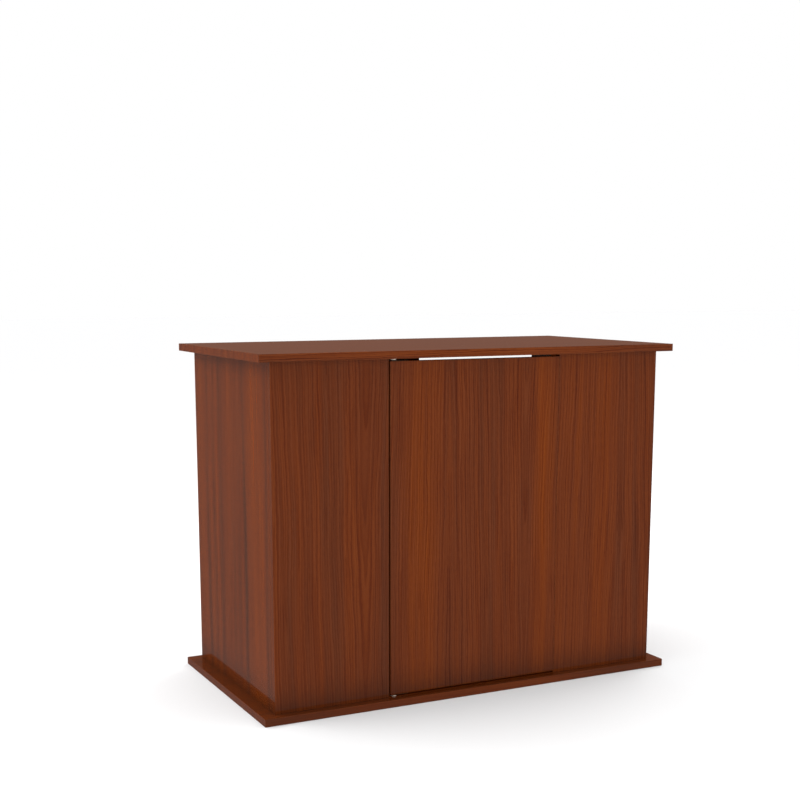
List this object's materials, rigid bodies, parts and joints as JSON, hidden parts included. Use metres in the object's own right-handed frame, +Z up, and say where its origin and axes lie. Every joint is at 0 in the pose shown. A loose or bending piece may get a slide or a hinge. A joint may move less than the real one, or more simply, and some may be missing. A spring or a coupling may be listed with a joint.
{
  "type": "aquarium stand cabinet",
  "caption": "Free-standing cabinet for an aquarium: laminated wood box between two overhanging boards, flush pivot-hinged door, touch latch and open back.",
  "frame": {"origin": "centre of the footprint, on the floor", "axes": "+Z up, -Y out of the door side, +X towards the door's latch side"},
  "size_m": [0.984, 0.51, 0.745],
  "materials": {
    "laminate": "cherry wood-grain laminate, semi-gloss",
    "cleat_wood": "cherry wood-grain laminate, semi-gloss",
    "dowel_wood": "plain fluted beech",
    "steel": "satin steel",
    "hinge_bronze": "dark bronze plated steel",
    "zinc": "zinc plated",
    "nylon": "light grey nylon",
    "latch_plastic": "dark brown moulded plastic"
  },
  "bodies": {
    "carcass": {"base_board": "laminate", "top_board": "laminate", "left_side_panel": "laminate", "right_side_panel": "laminate", "front_left_panel": "laminate", "front_right_panel": "laminate", "back_centre_panel": "laminate", "left_cleat": "cleat_wood", "right_cleat": "cleat_wood", "left_front_base_screw": "zinc", "left_rear_base_screw": "zinc", "right_front_base_screw": "zinc", "right_rear_base_screw": "zinc", "front_left_base_screw": "zinc", "front_right_base_screw": "zinc", "back_left_base_screw": "zinc", "back_right_base_screw": "zinc", "left_front_cleat_side_screw": "zinc", "left_front_cleat_top_screw": "zinc", "left_rear_cleat_side_screw": "zinc", "left_rear_cleat_top_screw": "zinc", "right_front_cleat_side_screw": "zinc", "right_front_cleat_top_screw": "zinc", "right_rear_cleat_side_screw": "zinc", "right_rear_cleat_top_screw": "zinc", "front_left_base_dowel": "dowel_wood", "front_right_base_dowel": "dowel_wood", "left_lower_corner_dowel": "dowel_wood", "left_upper_corner_dowel": "dowel_wood", "right_lower_corner_dowel": "dowel_wood", "right_upper_corner_dowel": "dowel_wood", "front_left_cam": "zinc", "front_right_cam": "zinc", "back_cam": "zinc", "front_left_cam_bolt": "zinc", "front_right_cam_bolt": "zinc", "back_cam_bolt": "zinc", "top_pivot_bushing": "nylon", "bottom_pivot_bushing": "nylon", "latch_housing": "latch_plastic", "latch_spring": "steel", "latch_screw_1": "steel", "latch_screw_2": "steel"},
    "door": {"door_panel": "laminate", "top_hinge_leaf": "hinge_bronze", "bottom_hinge_leaf": "hinge_bronze", "top_pivot_pin": "steel", "bottom_pivot_pin": "steel", "top_pivot_spacer": "nylon", "bottom_pivot_spacer": "nylon", "top_leaf_screw_1": "steel", "top_leaf_screw_2": "steel", "bottom_leaf_screw_1": "steel", "bottom_leaf_screw_2": "steel", "strike_plate": "steel", "strike_screw": "steel"},
    "latch_plunger": {"latch_plunger": "latch_plastic", "latch_magnet": "steel"}
  },
  "joints": [
    {"name": "door_swing", "type": "hinge", "parent": "carcass", "child": "door", "pos_m": [-0.1915, -0.226, 0.37], "axis": [0, 0, -1], "range_deg": [0, 110]},
    {"name": "latch_push", "type": "slide", "parent": "carcass", "child": "latch_plunger", "axis": [0, -1, 0], "range_m": [0, 0.008]}
  ],
  "couplings": [
    {"joint": "latch_push", "follows": "door_swing", "m_per_rad": 0.00416}
  ]
}
